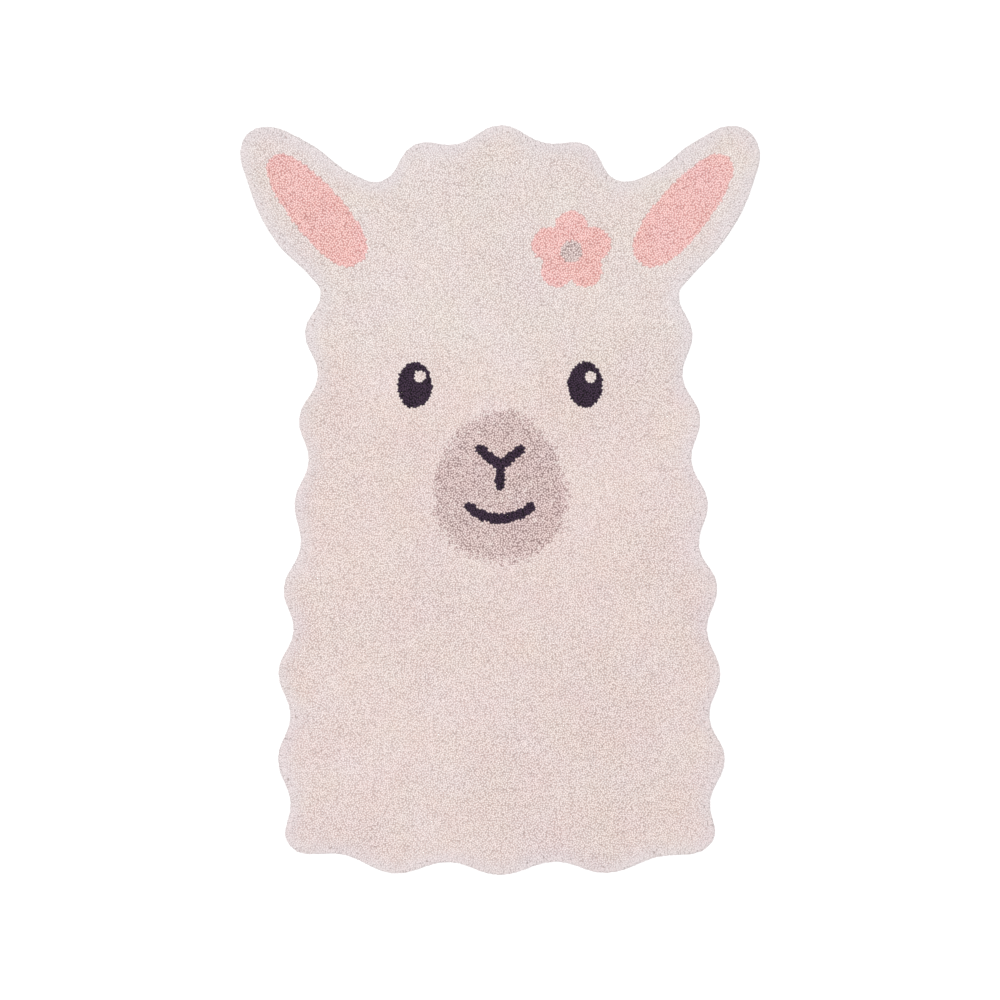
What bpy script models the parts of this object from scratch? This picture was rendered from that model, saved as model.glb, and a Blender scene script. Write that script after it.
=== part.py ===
"""A tufted cotton rug for a child's room, cut to the shape of a woolly animal's head and neck.

The rug is one piece: yarn tufted into a ground cloth, cut round, and lying flat on the floor. It is
modelled as one solid that reaches from the floor to the tips of the pile. Seen from above, two long
ears stand out at the upper corners, and the fleece runs in soft curls along the crown, down both
sides and round the base. The pile rolls over at the rim and is a little lumpy on top.

Metres, +Z up. The origin is on the floor under the middle of the rug, and +Y runs to the ears.
"""

import math
import random

import bmesh
import bpy
from mathutils import Vector, geometry, noise

MM = 0.001

# Driving sizes
LENGTH = 1.600  # base to crown
EAR_SPAN = 1.110  # across both ears
PILE_HEIGHT = 18 * MM  # floor to pile tips, ground cloth included

# The even line under the curls on the right: an arc for the crown, and a Bezier span (knot, handle,
# handle, knot) for the side and for half the base
CROWN_RADIUS = 0.400
CROWN_TOP = 0.785
SIDE_LINE = ((0.388, 0.445), (0.400, 0.100), (0.502, -0.610), (0.428, -0.728))
BASE_LINE = ((0.428, -0.728), (0.385, -0.795), (0.200, -0.778), (0.000, -0.787))

# Curls of the fleece edge; a half curl runs from a crest to a hollow or back
CURL_DEPTH = 27 * MM
CROWN_HALF_CURLS = 3
CROWN_STEP = math.radians(13.2)  # one half curl on the crown's arc
SIDE_HALF_CURLS = 13
BASE_HALF_CURLS = 4
CREST, HOLLOW = 1, -1
UNEVEN = 8 * MM  # how far the hand cutting strays from the even line
CUTTING_SEED = 11

# One ear, an egg whose broad end is at the root
EAR_MIDDLE = Vector((0.388, 0.622))
EAR_TILT = math.radians(40)  # outwards from the rug's long axis
EAR_HALF_LENGTH = 0.215
EAR_HALF_WIDTH = 0.106
EAR_TAPER = 0.24
EAR_SWEEP = (-90, -54, -18, 18, 54, 90, 120)  # degrees from the tip, the upper edge first

# The rolled rim of the pile, from the floor up
RIM_ROWS = (
    # in from the cut edge, height above the floor
    (0.0 * MM, 6.5 * MM),
    (1.6 * MM, 11.5 * MM),
    (5.5 * MM, 15.4 * MM),
    (13.0 * MM, 17.5 * MM),
)

# Fineness of the outline
SPAN_STEPS = 5  # mesh points for each crest, hollow or ear point
LINE_STEPS = 65  # points that stand for one Bezier span while its length is measured
ROUNDING = 1e-4  # share of a half curl by which that length may miss the span's end

# Lumps in the pile's surface
LUMP_HEIGHT = 1.0 * MM
LUMP_SIZE = 0.075
LUMP_GRID = 0.048

PILE_COLOUR = (0.77, 0.66, 0.62, 1.0)  # pale pinkish ecru cotton, linear
PILE_ROUGHNESS = 0.95


def clear_scene():
    for obj in list(bpy.data.objects):
        bpy.data.objects.remove(obj, do_unlink=True)


def crown_edge():
    """Crests and hollows from the middle of the crown to the hollow beside the right ear."""
    centre = Vector((0.0, CROWN_TOP - CROWN_RADIUS))
    edge = []
    for i in range(CROWN_HALF_CURLS + 1):
        angle = i * CROWN_STEP
        turn = CREST if i % 2 == 0 else HOLLOW
        radius = CROWN_RADIUS + turn * CURL_DEPTH / 2
        edge.append(centre + radius * Vector((math.sin(angle), math.cos(angle))))
    return edge


def fleece_edge(span, half_curls, turn):
    """Crests and hollows at even steps along a Bezier span, the rug on its right. turn is that of the first."""
    line = geometry.interpolate_bezier(*(Vector(knot) for knot in span), LINE_STEPS)
    lengths = [(b - a).length for a, b in zip(line, line[1:])]
    step = sum(lengths) / half_curls
    edge = []
    walked = 0.0
    for a, b, length in zip(line, line[1:], lengths):
        outwards = Vector((a.y - b.y, b.x - a.x)) / length
        while walked + length > (len(edge) - ROUNDING) * step:
            point = a.lerp(b, (len(edge) * step - walked) / length)
            edge.append(point + turn * CURL_DEPTH / 2 * outwards)
            turn = -turn
        walked += length
    return edge


def ear_edge():
    """The right ear's upper edge out to the tip, then its lower edge back."""
    axis = Vector((math.sin(EAR_TILT), math.cos(EAR_TILT)))
    across = Vector((axis.y, -axis.x))
    edge = []
    for angle in map(math.radians, EAR_SWEEP):
        half_width = EAR_HALF_WIDTH * (1 - EAR_TAPER * math.cos(angle))
        along = EAR_HALF_LENGTH * math.cos(angle)
        edge.append(EAR_MIDDLE + along * axis + half_width * math.sin(angle) * across)
    return edge


def outline_points():
    """The whole cut edge, clockwise from the middle of the crown, as uneven as hand cutting leaves it."""
    side = fleece_edge(SIDE_LINE, SIDE_HALF_CURLS, HOLLOW)
    base = fleece_edge(BASE_LINE, BASE_HALF_CURLS, CREST)
    right = crown_edge() + ear_edge() + side + base[1:]
    left = [Vector((-p.x, p.y)) for p in reversed(right[1:-1])]
    stray = random.Random(CUTTING_SEED)
    return [p + Vector((stray.uniform(-1, 1), stray.uniform(-1, 1))) * UNEVEN / 2 for p in right + left]


def outline_curve(points):
    """A closed 2D curve that runs smoothly through the points."""
    curve = bpy.data.curves.new("outline", "CURVE")
    curve.dimensions = "2D"
    curve.fill_mode = "NONE"
    curve.resolution_u = SPAN_STEPS
    spline = curve.splines.new("BEZIER")
    spline.bezier_points.add(len(points) - 1)
    spline.use_cyclic_u = True
    for knot, point in zip(spline.bezier_points, points):
        knot.co = point.to_3d()
        knot.handle_left_type = "AUTO"
        knot.handle_right_type = "AUTO"
    return bpy.data.objects.new("outline", curve)


def cut_face(guide):
    """A bmesh with one flat face of the outline's shape, stretched to the rug's real size."""
    bpy.context.scene.collection.objects.link(guide)
    bpy.context.view_layer.update()
    flat = bpy.data.meshes.new_from_object(guide.evaluated_get(bpy.context.evaluated_depsgraph_get()))
    bpy.data.objects.remove(guide, do_unlink=True)
    shape = bmesh.new()
    shape.from_mesh(flat)
    bpy.data.meshes.remove(flat)
    bmesh.ops.remove_doubles(shape, verts=shape.verts, dist=0.01 * MM)
    low = Vector((min(v.co.x for v in shape.verts), min(v.co.y for v in shape.verts)))
    high = Vector((max(v.co.x for v in shape.verts), max(v.co.y for v in shape.verts)))
    size, middle = high - low, (high + low) / 2
    bmesh.ops.translate(shape, verts=shape.verts, vec=-middle.to_3d())
    bmesh.ops.scale(shape, verts=shape.verts, vec=(EAR_SPAN / size.x, LENGTH / size.y, 1.0))
    bmesh.ops.contextual_create(shape, geom=shape.edges)
    return shape


def roll_rim(shape):
    """Raises the face from the floor and steps it in, row by row. Returns the top of the pile as one face."""
    face = shape.faces[:][0]
    raised = bmesh.ops.extrude_face_region(shape, geom=[face], use_keep_orig=True)["geom"]
    top = next(g for g in raised if isinstance(g, bmesh.types.BMFace))
    inset, height = RIM_ROWS[0]
    bmesh.ops.translate(shape, verts=top.verts[:], vec=(0, 0, height))
    bmesh.ops.recalc_face_normals(shape, faces=shape.faces)
    for next_inset, next_height in RIM_ROWS[1:]:
        bmesh.ops.inset_region(
            shape,
            faces=[top],
            thickness=next_inset - inset,
            depth=next_height - height,
            use_even_offset=True,
            use_boundary=True,
        )
        inset, height = next_inset, next_height
    return top


def raise_lumps(shape, top):
    """Divides the top face by a grid and lifts or lowers its inner points, as the pile's surface does."""
    ring = set(top.verts)
    faces = bmesh.ops.triangulate(shape, faces=[top])["faces"]
    for axis, reach in ((Vector((1, 0, 0)), EAR_SPAN / 2), (Vector((0, 1, 0)), LENGTH / 2)):
        steps = int(reach / LUMP_GRID)
        for i in range(-steps, steps + 1):
            cut_through = faces + list({e for f in faces for e in f.edges})
            cut = bmesh.ops.bisect_plane(shape, geom=cut_through, plane_co=axis * i * LUMP_GRID, plane_no=axis)
            faces = [g for g in cut["geom"] if isinstance(g, bmesh.types.BMFace)]
    on_rim = {v for f in shape.faces if f not in set(faces) for v in f.verts} | ring
    inner = {v for f in faces for v in f.verts} - on_rim
    for vert in inner:
        vert.co.z = PILE_HEIGHT - LUMP_HEIGHT / 2 + LUMP_HEIGHT / 2 * noise.noise(vert.co / LUMP_SIZE)


def pile_material():
    material = bpy.data.materials.new("ecru_cotton_pile")
    material.use_nodes = True
    shader = material.node_tree.nodes["Principled BSDF"]
    shader.inputs["Base Color"].default_value = PILE_COLOUR
    shader.inputs["Roughness"].default_value = PILE_ROUGHNESS
    shader.inputs["Metallic"].default_value = 0.0
    return material


def make_rug():
    shape = cut_face(outline_curve(outline_points()))
    top = roll_rim(shape)
    raise_lumps(shape, top)
    mesh = bpy.data.meshes.new("rug")
    shape.to_mesh(mesh)
    shape.free()
    mesh.materials.append(pile_material())
    mesh.shade_smooth()
    mesh.set_sharp_from_angle(angle=math.radians(50))
    return bpy.data.objects.new("rug", mesh)


def main():
    clear_scene()
    collection = bpy.data.collections.new("animal_rug")
    bpy.context.scene.collection.children.link(collection)
    collection.objects.link(make_rug())


main()
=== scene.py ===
"""The looks of a tufted cotton rug in the shape of a woolly animal's head: one cloth and its pile.

The CAD solid reaches to the tips of the pile. Here the ground cloth lies a pile's length inside
it, and every tuft of yarn is planted in that cloth in its own colour, so tufts alone draw the face.
"""

import math

import bpy
import numpy as np
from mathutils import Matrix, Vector, noise


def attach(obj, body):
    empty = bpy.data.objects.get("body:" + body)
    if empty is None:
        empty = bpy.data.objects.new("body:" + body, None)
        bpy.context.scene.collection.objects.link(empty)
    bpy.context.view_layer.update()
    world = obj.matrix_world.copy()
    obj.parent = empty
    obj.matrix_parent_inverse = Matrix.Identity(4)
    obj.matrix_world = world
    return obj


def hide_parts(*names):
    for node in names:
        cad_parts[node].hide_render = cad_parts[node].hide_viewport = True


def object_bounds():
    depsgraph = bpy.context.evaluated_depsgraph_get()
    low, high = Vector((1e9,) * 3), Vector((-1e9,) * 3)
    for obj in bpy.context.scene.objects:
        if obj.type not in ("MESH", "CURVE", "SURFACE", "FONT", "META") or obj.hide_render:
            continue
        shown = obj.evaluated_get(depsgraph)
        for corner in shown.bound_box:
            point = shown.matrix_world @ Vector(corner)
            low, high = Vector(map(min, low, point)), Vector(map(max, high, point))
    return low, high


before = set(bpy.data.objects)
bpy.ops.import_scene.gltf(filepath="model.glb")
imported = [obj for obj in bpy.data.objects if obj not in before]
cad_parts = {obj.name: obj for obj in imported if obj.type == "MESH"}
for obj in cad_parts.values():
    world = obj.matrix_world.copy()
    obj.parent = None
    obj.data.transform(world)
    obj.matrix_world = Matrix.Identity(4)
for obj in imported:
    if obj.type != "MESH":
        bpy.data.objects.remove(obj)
cad_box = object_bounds()

# ------------------------------------------------------------------------------------------------
# Ground cloth. A plain weave of unbleached cotton, cut to the outline of the rug, that all the
# yarn is tufted into. The pile hides it from above, and its weave shows only underneath. It is the
# CAD solid, drawn in by the length of pile that stands clear of it.

PILE = 0.0065  # metres of yarn that stand clear of the cloth
ON_FLOOR = 0.0001  # metres; a point lower than this lies on the floor
SAME_POINT = 0.00001
CREASE = math.radians(50)  # a fold sharper than this shows as an edge
BACK_FACING = -0.5  # upward part of a face's normal, under which the face is the cloth's back
CANVAS_LIGHT = "#E9DFCF"
CANVAS_DARK = "#C9BBA6"
STITCHED = "#BDADA9"
THREAD_PITCH = 0.0030  # real threads are 1 mm apart, drawn coarser so that they show
THREAD_RELIEF = 0.0006
THREAD_WANDER = 0.6
WAVE_BAND = 0.314  # metres across a band of Blender's wave texture at scale 1


def linear(hex_colour):
    """An sRGB hex colour as linear RGBA."""
    parts = [int(hex_colour[i : i + 2], 16) / 255 for i in (1, 3, 5)]
    return [c / 12.92 if c <= 0.04045 else ((c + 0.055) / 1.055) ** 2.4 for c in parts] + [1.0]


def add(tree, kind, inputs=None, **settings):
    """Adds a node. An input's value is a plain value, or another node's output, which is linked."""
    node = tree.nodes.new(kind)
    for name, value in settings.items():
        setattr(node, name, value)
    for name, value in (inputs or {}).items():
        if isinstance(value, bpy.types.NodeSocket):
            tree.links.new(value, node.inputs[name])
        else:
            node.inputs[name].default_value = value
    return node


bpy.ops.object.select_all(action="DESELECT")
bpy.ops.mesh.primitive_plane_add(size=1)
ground = bpy.context.object
ground.name = "ground_cloth"
ground.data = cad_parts["rug"].data.copy()
ground.data.name = "ground_cloth"
ground.data.materials.clear()
bpy.ops.object.mode_set(mode="EDIT")
bpy.ops.mesh.select_all(action="SELECT")
bpy.ops.mesh.remove_doubles(threshold=SAME_POINT)
bpy.ops.mesh.customdata_custom_splitnormals_clear()
bpy.ops.object.mode_set(mode="OBJECT")
drawn_in = []
for vertex in ground.data.vertices:
    inwards = -vertex.normal
    if vertex.co.z < ON_FLOOR:
        inwards.z = 0.0
        inwards.normalize()
    drawn_in.append(vertex.co + PILE * inwards)
for vertex, spot in zip(ground.data.vertices, drawn_in):
    vertex.co = spot
bpy.ops.object.shade_smooth_by_angle(angle=CREASE)

# Unbleached cotton canvas, plain-woven: matt, with a visible over-and-under of light threads and
# darker gaps.
canvas = bpy.data.materials.new("unbleached_cotton_canvas")
canvas.use_nodes = True
tree = canvas.node_tree
shader = tree.nodes["Principled BSDF"]
shader.inputs["Roughness"].default_value = 0.9
shader.inputs["Sheen Weight"].default_value = 0.1
place = add(tree, "ShaderNodeTexCoord").outputs["Object"]
weave = []
for direction in ("X", "Y"):
    threads = add(
        tree,
        "ShaderNodeTexWave",
        {
            "Vector": place,
            "Scale": WAVE_BAND / THREAD_PITCH,
            "Distortion": THREAD_WANDER,
            "Detail Scale": 3.0,
        },
        bands_direction=direction,
    )
    weave.append(threads.outputs["Fac"])
crossing = add(tree, "ShaderNodeMath", {0: weave[0], 1: weave[1]}, operation="MULTIPLY").outputs[0]
colour = add(tree, "ShaderNodeMix", {"Factor": crossing}, data_type="RGBA")
colour.inputs["A"].default_value = linear(CANVAS_DARK)
colour.inputs["B"].default_value = linear(CANVAS_LIGHT)
tree.links.new(colour.outputs["Result"], shader.inputs["Base Color"])
bump = add(
    tree, "ShaderNodeBump", {"Height": crossing, "Strength": 0.6, "Distance": THREAD_RELIEF}
)
tree.links.new(bump.outputs["Normal"], shader.inputs["Normal"])
ground.data.materials.append(canvas)

# The same canvas on top, where the stitches' own yarn fills it: ecru, and dark for want of light.
stitched = bpy.data.materials.new("stitched_cotton_roots")
stitched.use_nodes = True
shader = stitched.node_tree.nodes["Principled BSDF"]
shader.inputs["Base Color"].default_value = linear(STITCHED)
shader.inputs["Roughness"].default_value = 1.0
ground.data.materials.append(stitched)
BACK, TOP = 0, 1  # places of the two materials on the cloth
for face in ground.data.polygons:
    face.material_index = BACK if face.normal.z < BACK_FACING else TOP

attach(ground, "root")
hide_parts("rug")

# ------------------------------------------------------------------------------------------------
# Stitches. Tufting leaves them some 4 mm apart over the top of the cloth. Round its edge they are
# closer, because there the tufts fan outwards and roll the pile over the rim. Here each stitch
# gets its place, its length, its lean and its shade, and none of its yarn yet.

STITCH_ZONES = (
    # upward part of the cloth's facing, give or take, least distance between two stitches
    (1.0, 0.1, 0.0036),
    (0.2, 0.7, 0.0026),
)
STITCH_DENSITY = 400000  # tried for each square metre before the close ones are dropped
STITCH_SEED = 7
LAY_SIZE = 0.16  # metres over which the pile's lay turns
LAY_LEAN = 0.0013
LAY_SEED = 3
STRAY_LEAN = 0.0002
RIM_REACH = 0.022  # metres from the cut edge within which the tufts fan outwards
RIM_LEAN = 0.0018
RIM_LEAST = 0.001  # metres; a stitch nearer to the edge than this leans less
UNEVEN = 0.03  # share by which tufts differ in length and in girth
YARN_SEED = 5

# Stitches are strewn over the cloth by Geometry Nodes, and come back as points with their facing.
scatter = bpy.data.node_groups.new("stitches", "GeometryNodeTree")
scatter.interface.new_socket("Cloth", in_out="INPUT", socket_type="NodeSocketGeometry")
scatter.interface.new_socket("Stitches", in_out="OUTPUT", socket_type="NodeSocketGeometry")
cloth_in = add(scatter, "NodeGroupInput").outputs[0]
facing = add(scatter, "GeometryNodeInputNormal").outputs["Normal"]
upwards = add(scatter, "ShaderNodeSeparateXYZ", {"Vector": facing}).outputs["Z"]
zones = add(scatter, "GeometryNodeJoinGeometry")
for middle, give, gap in STITCH_ZONES:
    zone = add(scatter, "ShaderNodeMath", {0: upwards, 1: middle, 2: give}, operation="COMPARE")
    spread = add(
        scatter,
        "GeometryNodeDistributePointsOnFaces",
        {
            "Mesh": cloth_in,
            "Selection": zone.outputs[0],
            "Distance Min": gap,
            "Density Max": STITCH_DENSITY,
            "Seed": STITCH_SEED,
        },
        distribute_method="POISSON",
    )
    marked = add(
        scatter,
        "GeometryNodeStoreNamedAttribute",
        {
            "Geometry": spread.outputs["Points"],
            "Name": "facing",
            "Value": spread.outputs["Normal"],
        },
        data_type="FLOAT_VECTOR",
    )
    scatter.links.new(marked.outputs["Geometry"], zones.inputs["Geometry"])
dots_out = add(scatter, "GeometryNodePointsToVertices", {"Points": zones.outputs["Geometry"]})
add(scatter, "NodeGroupOutput", {0: dots_out.outputs[0]})

strewn = bpy.data.objects.new("stitches", ground.data.copy())
bpy.context.collection.objects.link(strewn)
strewn.modifiers.new("stitches", "NODES").node_group = scatter
bpy.context.view_layer.update()
evaluated = strewn.evaluated_get(bpy.context.evaluated_depsgraph_get())
dots = bpy.data.meshes.new_from_object(evaluated)
bpy.data.objects.remove(strewn, do_unlink=True)
stitches = np.empty(len(dots.vertices) * 3)
dots.vertices.foreach_get("co", stitches)
stitches = stitches.reshape(-1, 3)
facings = np.empty(len(stitches) * 3)
dots.attributes["facing"].data.foreach_get("vector", facings)
facings = facings.reshape(-1, 3)
bpy.data.meshes.remove(dots)
x, y = stitches[:, 0], stitches[:, 1]


def way_to_line(start, end):
    """The way from each stitch to the nearest point of a straight line, seen from above."""
    run = np.subtract(end, start)
    along = (((x - start[0]) * run[0] + (y - start[1]) * run[1]) / (run @ run)).clip(0, 1)
    return np.stack([start[0] + along * run[0] - x, start[1] + along * run[1] - y], axis=1)


# The way to the nearest cut edge, and how much a stitch belongs to the pile's flank there.
to_rim = np.full((len(stitches), 2), np.inf)
for face in ground.data.polygons:
    for edge in face.edge_keys:
        start, end = (ground.data.vertices[i].co for i in edge)
        if face.material_index == TOP and max(start.z, end.z) < ON_FLOOR:
            way = way_to_line(start[:2], end[:2])
            nearer = np.hypot(*way.T) < np.hypot(*to_rim.T)
            to_rim[nearer] = way[nearer]
rim_gap = np.hypot(*to_rim.T)
flank = np.exp(-((rim_gap / RIM_REACH) ** 2))

# The lay is where brushing leaves the pile leaning, patch by patch, and each tuft strays from it.
chance = np.random.default_rng(YARN_SEED)
noise.seed_set(LAY_SEED)
lay = np.array([noise.noise_vector(Vector(stitch) / LAY_SIZE) for stitch in stitches])
stray = chance.normal(size=stitches.shape)
lean = LAY_LEAN * lay + STRAY_LEAN * stray
lean[:, :2] += RIM_LEAN * (flank / rim_gap.clip(RIM_LEAST, None))[:, None] * to_rim
length = PILE * chance.normal(1.0, UNEVEN, len(stitches))
girth = chance.normal(1.0, UNEVEN, len(stitches))
shade = chance.random(len(stitches))
free = np.ones(len(stitches), dtype=bool)

# ------------------------------------------------------------------------------------------------
# Tufts. Each is a stitch of combed cotton yarn, cut level after tufting, so that its end opens into
# a soft round brush of strands. All four colours are the same yarn from differently dyed cones.

TUFT_SIDES = 5
TUFT_RINGS = (
    # share of the tuft's length, radius in metres, how much light gets down there
    (0.05, 0.0049, 0.0),
    (0.82, 0.0024, 0.45),
)
TIP_LIGHT = 1.0
TUFT_TWIST = 0.5  # radians that the yarn turns over its length
RAGGED_ROUND = 0.06  # share by which a ring's points differ in radius
RAGGED_CUT = 0.00015  # metres by which they differ in height
LOWEST = 0.0002  # metres above the floor that no tuft goes below
ASIDE = (0.36, 0.48, 0.8)  # any way that no stitch quite faces, to find a tuft's sides from
RIM_LIGHT = 0.60  # at the rim the yarn shows its flank, and the light on it is nearly even
RIM_CALM = 0.6  # how nearly
TUFT_HEAD = 0.0024  # radius in metres over which a tuft's strands are spread
CUT_END = 0.0016  # metres across one cut end of yarn; a tuft is a bundle of them
DARK_ENDS = 0.18  # share of the cut ends that are darker than the rest, painted shade of ends that sit lower
TUFT_SHADE = 0.15  # how far a cut end takes the shade of its tuft
FLANK_SHADE = 0.6  # the shade that the yarn's flank has instead of its ends
FLANK_CALM = 0.4  # how far a tuft at the very rim takes that shade
STRAND = 0.0009  # metres across one of the strands that a yarn is twisted from
DOWN = 1 / 900  # metres across a wisp of down
DOWN_RELIEF = 0.0006
CONE_PATCH = 0.080  # metres tufted from one cone of yarn before the next, of a different dye
CONE_CHANGE = {
    # between these heights up the rug the cones turn rosier by these shares
    "From Min": 0.36,
    "From Max": 0.20,
    "To Min": -0.2,
    "To Max": 0.25,
}
CONE_ROSY = "#FFF6F6"
CONE_YELLOW = "#FFFFF5"
FLANK_PALER = -0.45  # how much weaker the cones' tints are on the flank, which makes the rim paler


def plant(name, chosen, yarn):
    """Tufts the chosen stitches in one yarn, as one joined mesh."""
    free[chosen] = False
    count = len(chosen)
    facing = facings[chosen]
    side = np.cross(facing, ASIDE)
    side /= np.linalg.norm(side, axis=1, keepdims=True)
    other = np.cross(facing, side)
    turn = chance.random((count, 1)) * 2 * math.pi
    bundle = chance.random((count, 1, 3))

    # Rings of points up each tuft, then its tip. strands tells the yarn's strands apart.
    points, lights, strands = [], [], []
    for share, radius, light in TUFT_RINGS:
        middle = stitches[chosen] + share * length[chosen, None] * facing
        middle += share**2 * lean[chosen]
        angle = turn + TUFT_TWIST * share + np.arange(TUFT_SIDES) * 2 * math.pi / TUFT_SIDES
        reach = radius * girth[chosen, None] * chance.normal(1.0, RAGGED_ROUND, angle.shape)
        ring = middle[:, None] + (reach * np.cos(angle))[..., None] * side[:, None]
        ring += (reach * np.sin(angle))[..., None] * other[:, None]
        ring += (RAGGED_CUT * chance.normal(size=angle.shape))[..., None] * facing[:, None]
        points.append(ring)
        lights += [light] * TUFT_SIDES
        around = np.stack([np.cos(angle), np.sin(angle), 0 * angle], axis=2)
        strands.append(bundle + TUFT_HEAD * around)
    tip = stitches[chosen] + length[chosen, None] * facing + lean[chosen]
    points.append(tip[:, None])
    lights.append(TIP_LIGHT)
    strands.append(bundle)
    points = np.concatenate(points, axis=1)
    points[..., 2] = points[..., 2].clip(LOWEST, None)

    # Triangles between the rings, and from the last ring to the tip.
    corners = []
    for ring in range(len(TUFT_RINGS) - 1):
        for i in range(TUFT_SIDES):
            a = ring * TUFT_SIDES + i
            b = ring * TUFT_SIDES + (i + 1) % TUFT_SIDES
            corners += [a, b, b + TUFT_SIDES, a, b + TUFT_SIDES, a + TUFT_SIDES]
    last = (len(TUFT_RINGS) - 1) * TUFT_SIDES
    for i in range(TUFT_SIDES):
        corners += [last + i, last + (i + 1) % TUFT_SIDES, last + TUFT_SIDES]
    per_tuft = points.shape[1]
    corners = np.arange(count)[:, None] * per_tuft + np.array(corners)
    mesh = bpy.data.meshes.new(name)
    mesh.vertices.add(count * per_tuft)
    mesh.vertices.foreach_set("co", points.ravel())
    mesh.loops.add(corners.size)
    mesh.loops.foreach_set("vertex_index", corners.ravel())
    mesh.polygons.add(corners.size // 3)
    mesh.polygons.foreach_set("loop_start", np.arange(0, corners.size, 3))
    mesh.update(calc_edges=True)
    mesh.validate()
    mesh.shade_smooth()

    # What the yarn's material reads.
    calmed = lights + RIM_CALM * flank[chosen, None] * np.subtract(RIM_LIGHT, lights)
    marks = {
        "light": calmed.ravel(),
        "shade": np.repeat(shade[chosen], per_tuft),
        "flank": np.repeat(flank[chosen], per_tuft),
    }
    for label, values in marks.items():
        mesh.attributes.new(label, "FLOAT", "POINT").data.foreach_set("value", values)
    strands = np.concatenate(strands, axis=1).ravel()
    mesh.attributes.new("strand", "FLOAT_VECTOR", "POINT").data.foreach_set("vector", strands)
    mesh.materials.append(yarn)

    pile = bpy.data.objects.new(name, mesh)
    bpy.context.collection.objects.link(pile)
    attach(pile, "root")


def cotton(name, light, dark, deep):
    """Combed cotton yarn, cut: matt and a little downy. light and dark tint its ends, and deep is
    the painted shade in its roots."""
    material = bpy.data.materials.new(name)
    material.use_nodes = True
    tree = material.node_tree
    shader = tree.nodes["Principled BSDF"]
    shader.inputs["Roughness"].default_value = 0.95
    shader.inputs["Specular IOR Level"].default_value = 0.15
    shader.inputs["Sheen Weight"].default_value = 0.05
    shader.inputs["Sheen Roughness"].default_value = 0.6
    place = add(tree, "ShaderNodeTexCoord").outputs["Object"]
    flank = add(tree, "ShaderNodeAttribute", attribute_name="flank").outputs["Fac"]

    # Most cut ends are light and some are darker, as painted shade of ends that sit lower, but at
    # the rim the yarn shows its calmer flank.
    across = add(tree, "ShaderNodeAttribute", attribute_name="strand").outputs["Vector"]
    ends = add(tree, "ShaderNodeTexVoronoi", {"Vector": across, "Scale": 1 / CUT_END})
    end_value = add(tree, "ShaderNodeSeparateColor", {"Color": ends.outputs["Color"]})
    end_shade = add(
        tree, "ShaderNodeMapRange", {"Value": end_value.outputs["Red"], "From Max": DARK_ENDS}
    )
    tuft_shade = add(tree, "ShaderNodeAttribute", attribute_name="shade").outputs["Fac"]
    shade = add(
        tree,
        "ShaderNodeMix",
        {"Factor": TUFT_SHADE, "A": end_shade.outputs[0], "B": tuft_shade},
    )
    calm = add(tree, "ShaderNodeMapRange", {"Value": flank, "To Max": FLANK_CALM})
    shade = add(
        tree,
        "ShaderNodeMix",
        {"Factor": calm.outputs[0], "A": shade.outputs["Result"], "B": FLANK_SHADE},
    )
    tint = add(tree, "ShaderNodeMix", {"Factor": shade.outputs["Result"]}, data_type="RGBA")
    tint.inputs["A"].default_value = linear(dark)
    tint.inputs["B"].default_value = linear(light)

    # The lower a tuft is looked into, the less light comes back.
    depth = add(tree, "ShaderNodeAttribute", attribute_name="light").outputs["Fac"]
    deepened = add(
        tree, "ShaderNodeMix", {"Factor": depth, "B": tint.outputs["Result"]}, data_type="RGBA"
    )
    deepened.inputs["A"].default_value = linear(deep)
    colour = deepened.outputs["Result"]

    # The cones of yarn differ in dye. Patch by patch one is rosier or yellower than the next, all
    # are rosier down the rug, and their tints are weaker on the flank, so the rim is paler.
    patch = add(
        tree, "ShaderNodeTexNoise", {"Vector": place, "Scale": 1 / CONE_PATCH, "Detail": 2.0}
    )
    patches = add(tree, "ShaderNodeSeparateColor", {"Color": patch.outputs["Color"]}).outputs
    up_rug = add(tree, "ShaderNodeSeparateXYZ", {"Vector": place}).outputs["Y"]
    cone = add(tree, "ShaderNodeMapRange", {"Value": up_rug, **CONE_CHANGE})
    rosier = add(
        tree, "ShaderNodeMath", {0: patches["Red"], 1: cone.outputs[0]}, operation="ADD"
    )
    for dye, share in ((CONE_ROSY, rosier.outputs[0]), (CONE_YELLOW, patches["Green"])):
        tint_strength = add(
            tree, "ShaderNodeMath", {0: flank, 1: FLANK_PALER, 2: share}, operation="MULTIPLY_ADD"
        )
        dyed = add(
            tree,
            "ShaderNodeMix",
            {"Factor": tint_strength.outputs[0], "A": colour},
            data_type="RGBA",
            blend_type="MULTIPLY",
        )
        dyed.inputs["B"].default_value = linear(dye)
        colour = dyed.outputs["Result"]
    tree.links.new(colour, shader.inputs["Base Color"])

    # Strands stand up side by side, and down hangs over them.
    strand = add(tree, "ShaderNodeTexVoronoi", {"Vector": across, "Scale": 1 / STRAND})
    rounded = add(
        tree,
        "ShaderNodeBump",
        {"Height": strand.outputs["Distance"], "Strength": 0.4, "Distance": STRAND},
        invert=True,
    )
    down = add(tree, "ShaderNodeTexNoise", {"Vector": place, "Scale": 1 / DOWN, "Detail": 2.0})
    downy = add(
        tree,
        "ShaderNodeBump",
        {
            "Height": down.outputs["Fac"],
            "Strength": 0.5,
            "Distance": DOWN_RELIEF,
            "Normal": rounded.outputs["Normal"],
        },
    )
    tree.links.new(downy.outputs["Normal"], shader.inputs["Normal"])
    return material


# ------------------------------------------------------------------------------------------------
# Aubergine yarn. The darkest colour, tufted first: two open eyes with a catchlight left in ecru, a
# forked nose and a shallow smile.

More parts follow.
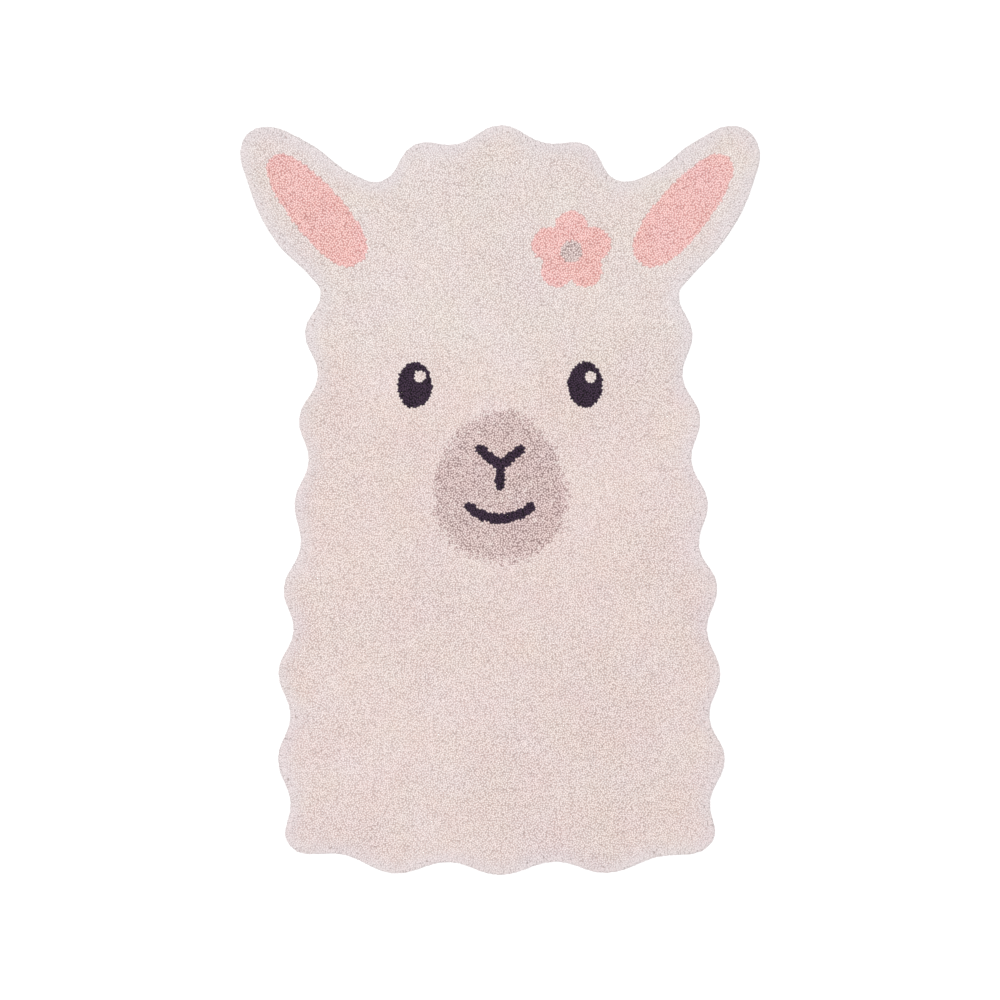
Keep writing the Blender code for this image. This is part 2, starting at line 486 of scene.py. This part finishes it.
EYE_MIDDLE = (0.182, 0.245)
EYE_HALF_WIDTH = 0.037
EYE_HALF_HEIGHT = 0.049
CATCHLIGHT_SHIFT = (0.012, 0.018)
CATCHLIGHT_RADIUS = 0.0125
STROKE_HALF_WIDTH = 0.0105
NOSE_FORK = (0.0, 0.072)
NOSE_ARM = (0.043, 0.036)
NOSE_STEM = 0.042
SMILE_MIDDLE = (0.0, 0.062)
SMILE_RADIUS = 0.102
SMILE_HALF_SPREAD = math.radians(40)
SMILE_POINTS = 9


def oval(middle, half_width, half_height, turn=0.0, taper=0.0, fullness=2.0):
    """How far out each stitch lies in an oval: under 1 inside. A taper narrows the oval's upper
    end, and a fullness above 2 makes its ends blunter."""
    dx, dy = x - middle[0], y - middle[1]
    across = dx * math.cos(turn) + dy * math.sin(turn)
    up = (dy * math.cos(turn) - dx * math.sin(turn)) / half_height
    across /= half_width * (1 - taper * up)
    return (np.abs(across) ** fullness + np.abs(up) ** fullness) ** (1 / fullness)


def stroke(points):
    """The stitches of a line drawn through the points."""
    near = []
    for start, end in zip(points, points[1:]):
        near.append(np.hypot(*way_to_line(start, end).T) < STROKE_HALF_WIDTH)
    return np.any(near, axis=0)


swing = np.linspace(-SMILE_HALF_SPREAD, SMILE_HALF_SPREAD, SMILE_POINTS)
smile = SMILE_MIDDLE + SMILE_RADIUS * np.stack([np.sin(swing), -np.cos(swing)], axis=1)
features = stroke(smile) | stroke([NOSE_FORK, (NOSE_FORK[0], NOSE_FORK[1] - NOSE_STEM)])
for right in (-1, 1):
    eye_at = (right * EYE_MIDDLE[0], EYE_MIDDLE[1])
    glint_at = (eye_at[0] + CATCHLIGHT_SHIFT[0], eye_at[1] + CATCHLIGHT_SHIFT[1])
    eye = oval(eye_at, EYE_HALF_WIDTH, EYE_HALF_HEIGHT) < 1
    eye &= oval(glint_at, CATCHLIGHT_RADIUS, CATCHLIGHT_RADIUS) > 1
    arm_end = (NOSE_FORK[0] + right * NOSE_ARM[0], NOSE_FORK[1] + NOSE_ARM[1])
    features |= eye | stroke([NOSE_FORK, arm_end])

# So dark that no single end stands out, and the tufts run together in one soft shape.
aubergine = cotton("aubergine_cotton_yarn", "#4E3B54", "#0A060C", "#0A060C")
plant("pile_aubergine_features", np.flatnonzero(features & free), aubergine)

# ------------------------------------------------------------------------------------------------
# Rose yarn. The insides of both ears, and a five-petalled flower on the forehead beside one ear.
# Its petals are round and run into each other, and leave the middle of the flower open.

INNER_EAR_MIDDLE = (0.392, 0.618)
INNER_EAR_TILT = math.radians(40)
INNER_EAR_HALF_LENGTH = 0.146
INNER_EAR_HALF_WIDTH = 0.054
INNER_EAR_TAPER = 0.10
INNER_EAR_FULLNESS = 2.4
FLOWER_MIDDLE = (0.152, 0.530)
PETALS = 5
PETAL_RING = 0.050
PETAL_RADIUS = 0.036
FLOWER_EYE_RADIUS = 0.023

rosy = np.zeros(len(stitches), dtype=bool)
for right in (-1, 1):
    inner_ear = oval(
        (right * INNER_EAR_MIDDLE[0], INNER_EAR_MIDDLE[1]),
        INNER_EAR_HALF_WIDTH,
        INNER_EAR_HALF_LENGTH,
        -right * INNER_EAR_TILT,
        INNER_EAR_TAPER,
        INNER_EAR_FULLNESS,
    )
    rosy |= inner_ear < 1
for petal in range(PETALS):
    angle = math.pi / 2 + petal * 2 * math.pi / PETALS
    petal_x = FLOWER_MIDDLE[0] + PETAL_RING * math.cos(angle)
    petal_y = FLOWER_MIDDLE[1] + PETAL_RING * math.sin(angle)
    rosy |= oval((petal_x, petal_y), PETAL_RADIUS, PETAL_RADIUS) < 1
flower_eye = oval(FLOWER_MIDDLE, FLOWER_EYE_RADIUS, FLOWER_EYE_RADIUS) < 1
rosy &= ~flower_eye

# A warm pink whose hollows are painted shade in a deeper pink, so that each tuft stands out.
rose = cotton("rose_cotton_yarn", "#F5D4D4", "#C89D9E", "#CB9F9F")
plant("pile_rose_ears_and_flower", np.flatnonzero(rosy & free), rose)

# ------------------------------------------------------------------------------------------------
# Taupe yarn. The egg-shaped muzzle, tufted with ecru let in among it so that its edge is soft, and
# the middle of the flower.

MUZZLE_MIDDLE = (0.0, 0.030)
MUZZLE_HALF_WIDTH = 0.140
MUZZLE_HALF_HEIGHT = 0.160
MUZZLE_TAPER = 0.16
MUZZLE_SHARE = 0.95  # of its stitches that are taupe
MUZZLE_EDGE = 0.14  # share of its size over which the taupe thins out

muzzle = oval(MUZZLE_MIDDLE, MUZZLE_HALF_WIDTH, MUZZLE_HALF_HEIGHT, taper=MUZZLE_TAPER)
density = ((1 + MUZZLE_EDGE / 2 - muzzle) / MUZZLE_EDGE).clip(0, 1) * MUZZLE_SHARE
brownish = (chance.random(len(stitches)) < density) | flower_eye

# Pale ends over hollows painted in brown shade give a heathered look that is coarser than the
# fleece.
# Its darker ends are partly the heather's own taupe and partly painted shade.
taupe = cotton("taupe_cotton_yarn", "#F2E5E6", "#8A7778", "#9C898B")
plant("pile_taupe_muzzle", np.flatnonzero(brownish & free), taupe)

# ------------------------------------------------------------------------------------------------
# Ecru yarn. The fleece: all the rest of the rug, in bands from the base up so that none of its
# meshes is too large. With it the cloth is full, and all its pile lies on it.

FLEECE_BANDS = 5

# Undyed but for a breath of pink: pale ends over hollows painted in warm grey shade, with no shine.
ecru = cotton("ecru_cotton_yarn", "#ECE5E6", "#A69C9C", "#CCC2C2")
rest = np.flatnonzero(free)
rest = rest[np.argsort(y[rest], kind="stable")]
for band, chosen in enumerate(np.array_split(rest, FLEECE_BANDS), 1):
    plant(f"pile_ecru_fleece_{band}", chosen, ecru)

# ------------------------------------------------------------------------------------------------
# Floor, light and camera. A plain matt white floor, an even white room, a round softbox hung a
# little to one side, and a camera that looks straight down.

FLOOR_SIZE = 40.0
FLOOR_COLOUR = "#F8F8F8"
ROOM_LIGHT = 0.63
SOFTBOX_SIZE = 4.4
SOFTBOX_WATTS = 306.0
SOFTBOX_PLACE = (-0.30, 0.20, 6.0)
VIEW_WIDTH = 2.133  # metres of floor across the picture
LENS = 75.0
SENSOR = 36.0

bpy.ops.object.select_all(action="DESELECT")
bpy.ops.mesh.primitive_plane_add(size=FLOOR_SIZE)
floor = bpy.context.object
floor.name = "floor"
floor_paint = bpy.data.materials.new("matt_white_floor_paint")
floor_paint.use_nodes = True
shader = floor_paint.node_tree.nodes["Principled BSDF"]
shader.inputs["Base Color"].default_value = linear(FLOOR_COLOUR)
shader.inputs["Roughness"].default_value = 0.9
floor.data.materials.append(floor_paint)

scene = bpy.context.scene
scene.view_settings.view_transform = "Standard"
scene.world = bpy.data.worlds.new("soft_room")
scene.world.use_nodes = True
room = scene.world.node_tree.nodes["Background"]
room.inputs["Color"].default_value = (1.0, 1.0, 1.0, 1.0)
room.inputs["Strength"].default_value = ROOM_LIGHT

softbox_light = bpy.data.lights.new("softbox", "AREA")
softbox_light.shape = "DISK"
softbox_light.size = SOFTBOX_SIZE
softbox_light.energy = SOFTBOX_WATTS
softbox = bpy.data.objects.new("softbox", softbox_light)
scene.collection.objects.link(softbox)
softbox.location = SOFTBOX_PLACE
softbox.rotation_euler = (-softbox.location).to_track_quat("-Z", "Y").to_euler()

lens = bpy.data.cameras.new("camera")
lens.lens = LENS
lens.sensor_width = SENSOR
camera = bpy.data.objects.new("camera", lens)
scene.collection.objects.link(camera)
camera.location = (0.0, 0.0, cad_box[1].z / 2 + VIEW_WIDTH * LENS / SENSOR)
scene.camera = camera
